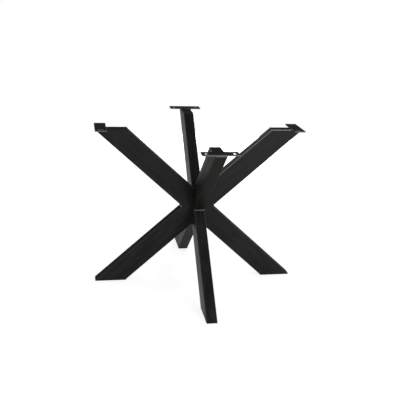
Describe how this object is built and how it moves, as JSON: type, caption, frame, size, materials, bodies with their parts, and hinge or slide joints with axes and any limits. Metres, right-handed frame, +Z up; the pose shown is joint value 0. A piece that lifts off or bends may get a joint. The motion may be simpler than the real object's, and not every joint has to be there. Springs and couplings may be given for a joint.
{
  "type": "table base",
  "caption": "Welded steel table base in black powder coat: box-section arms cross at one point at mid height, with slotted mounting plates on the upper tips.",
  "frame": {"origin": "on the floor, under the point where the arms cross", "axes": "+Z up; the arms point along +X (right), +Y (back), -X (left) and -Y (front)"},
  "size_m": [0.925, 0.925, 0.72],
  "materials": {
    "tube_coat": "satin black powder coat",
    "plate_coat": "satin black powder coat",
    "weld_coat": "satin black powder coat over weld"
  },
  "bodies": {
    "root": {"through_tube": "tube_coat", "front_upper_arm": "tube_coat", "back_lower_leg": "tube_coat", "left_upper_arm": "tube_coat", "left_lower_leg": "tube_coat", "right_upper_arm": "tube_coat", "right_lower_leg": "tube_coat", "right_top_cap": "plate_coat", "right_foot_cap": "tube_coat", "right_mounting_plate": "plate_coat", "right_notch_weld": "weld_coat", "back_top_cap": "plate_coat", "back_foot_cap": "tube_coat", "back_mounting_plate": "plate_coat", "back_notch_weld": "weld_coat", "left_top_cap": "plate_coat", "left_foot_cap": "tube_coat", "left_mounting_plate": "plate_coat", "left_notch_weld": "weld_coat", "front_top_cap": "plate_coat", "front_foot_cap": "tube_coat", "front_mounting_plate": "plate_coat", "front_notch_weld": "weld_coat", "front_left_corner_weld": "weld_coat", "front_right_corner_weld": "weld_coat", "back_right_corner_weld": "weld_coat", "back_left_corner_weld": "weld_coat", "right_plate_back_weld": "weld_coat", "right_plate_front_weld": "weld_coat", "back_plate_left_weld": "weld_coat", "back_plate_right_weld": "weld_coat", "left_plate_front_weld": "weld_coat", "left_plate_back_weld": "weld_coat", "front_plate_right_weld": "weld_coat", "front_plate_left_weld": "weld_coat"}
  },
  "joints": []
}
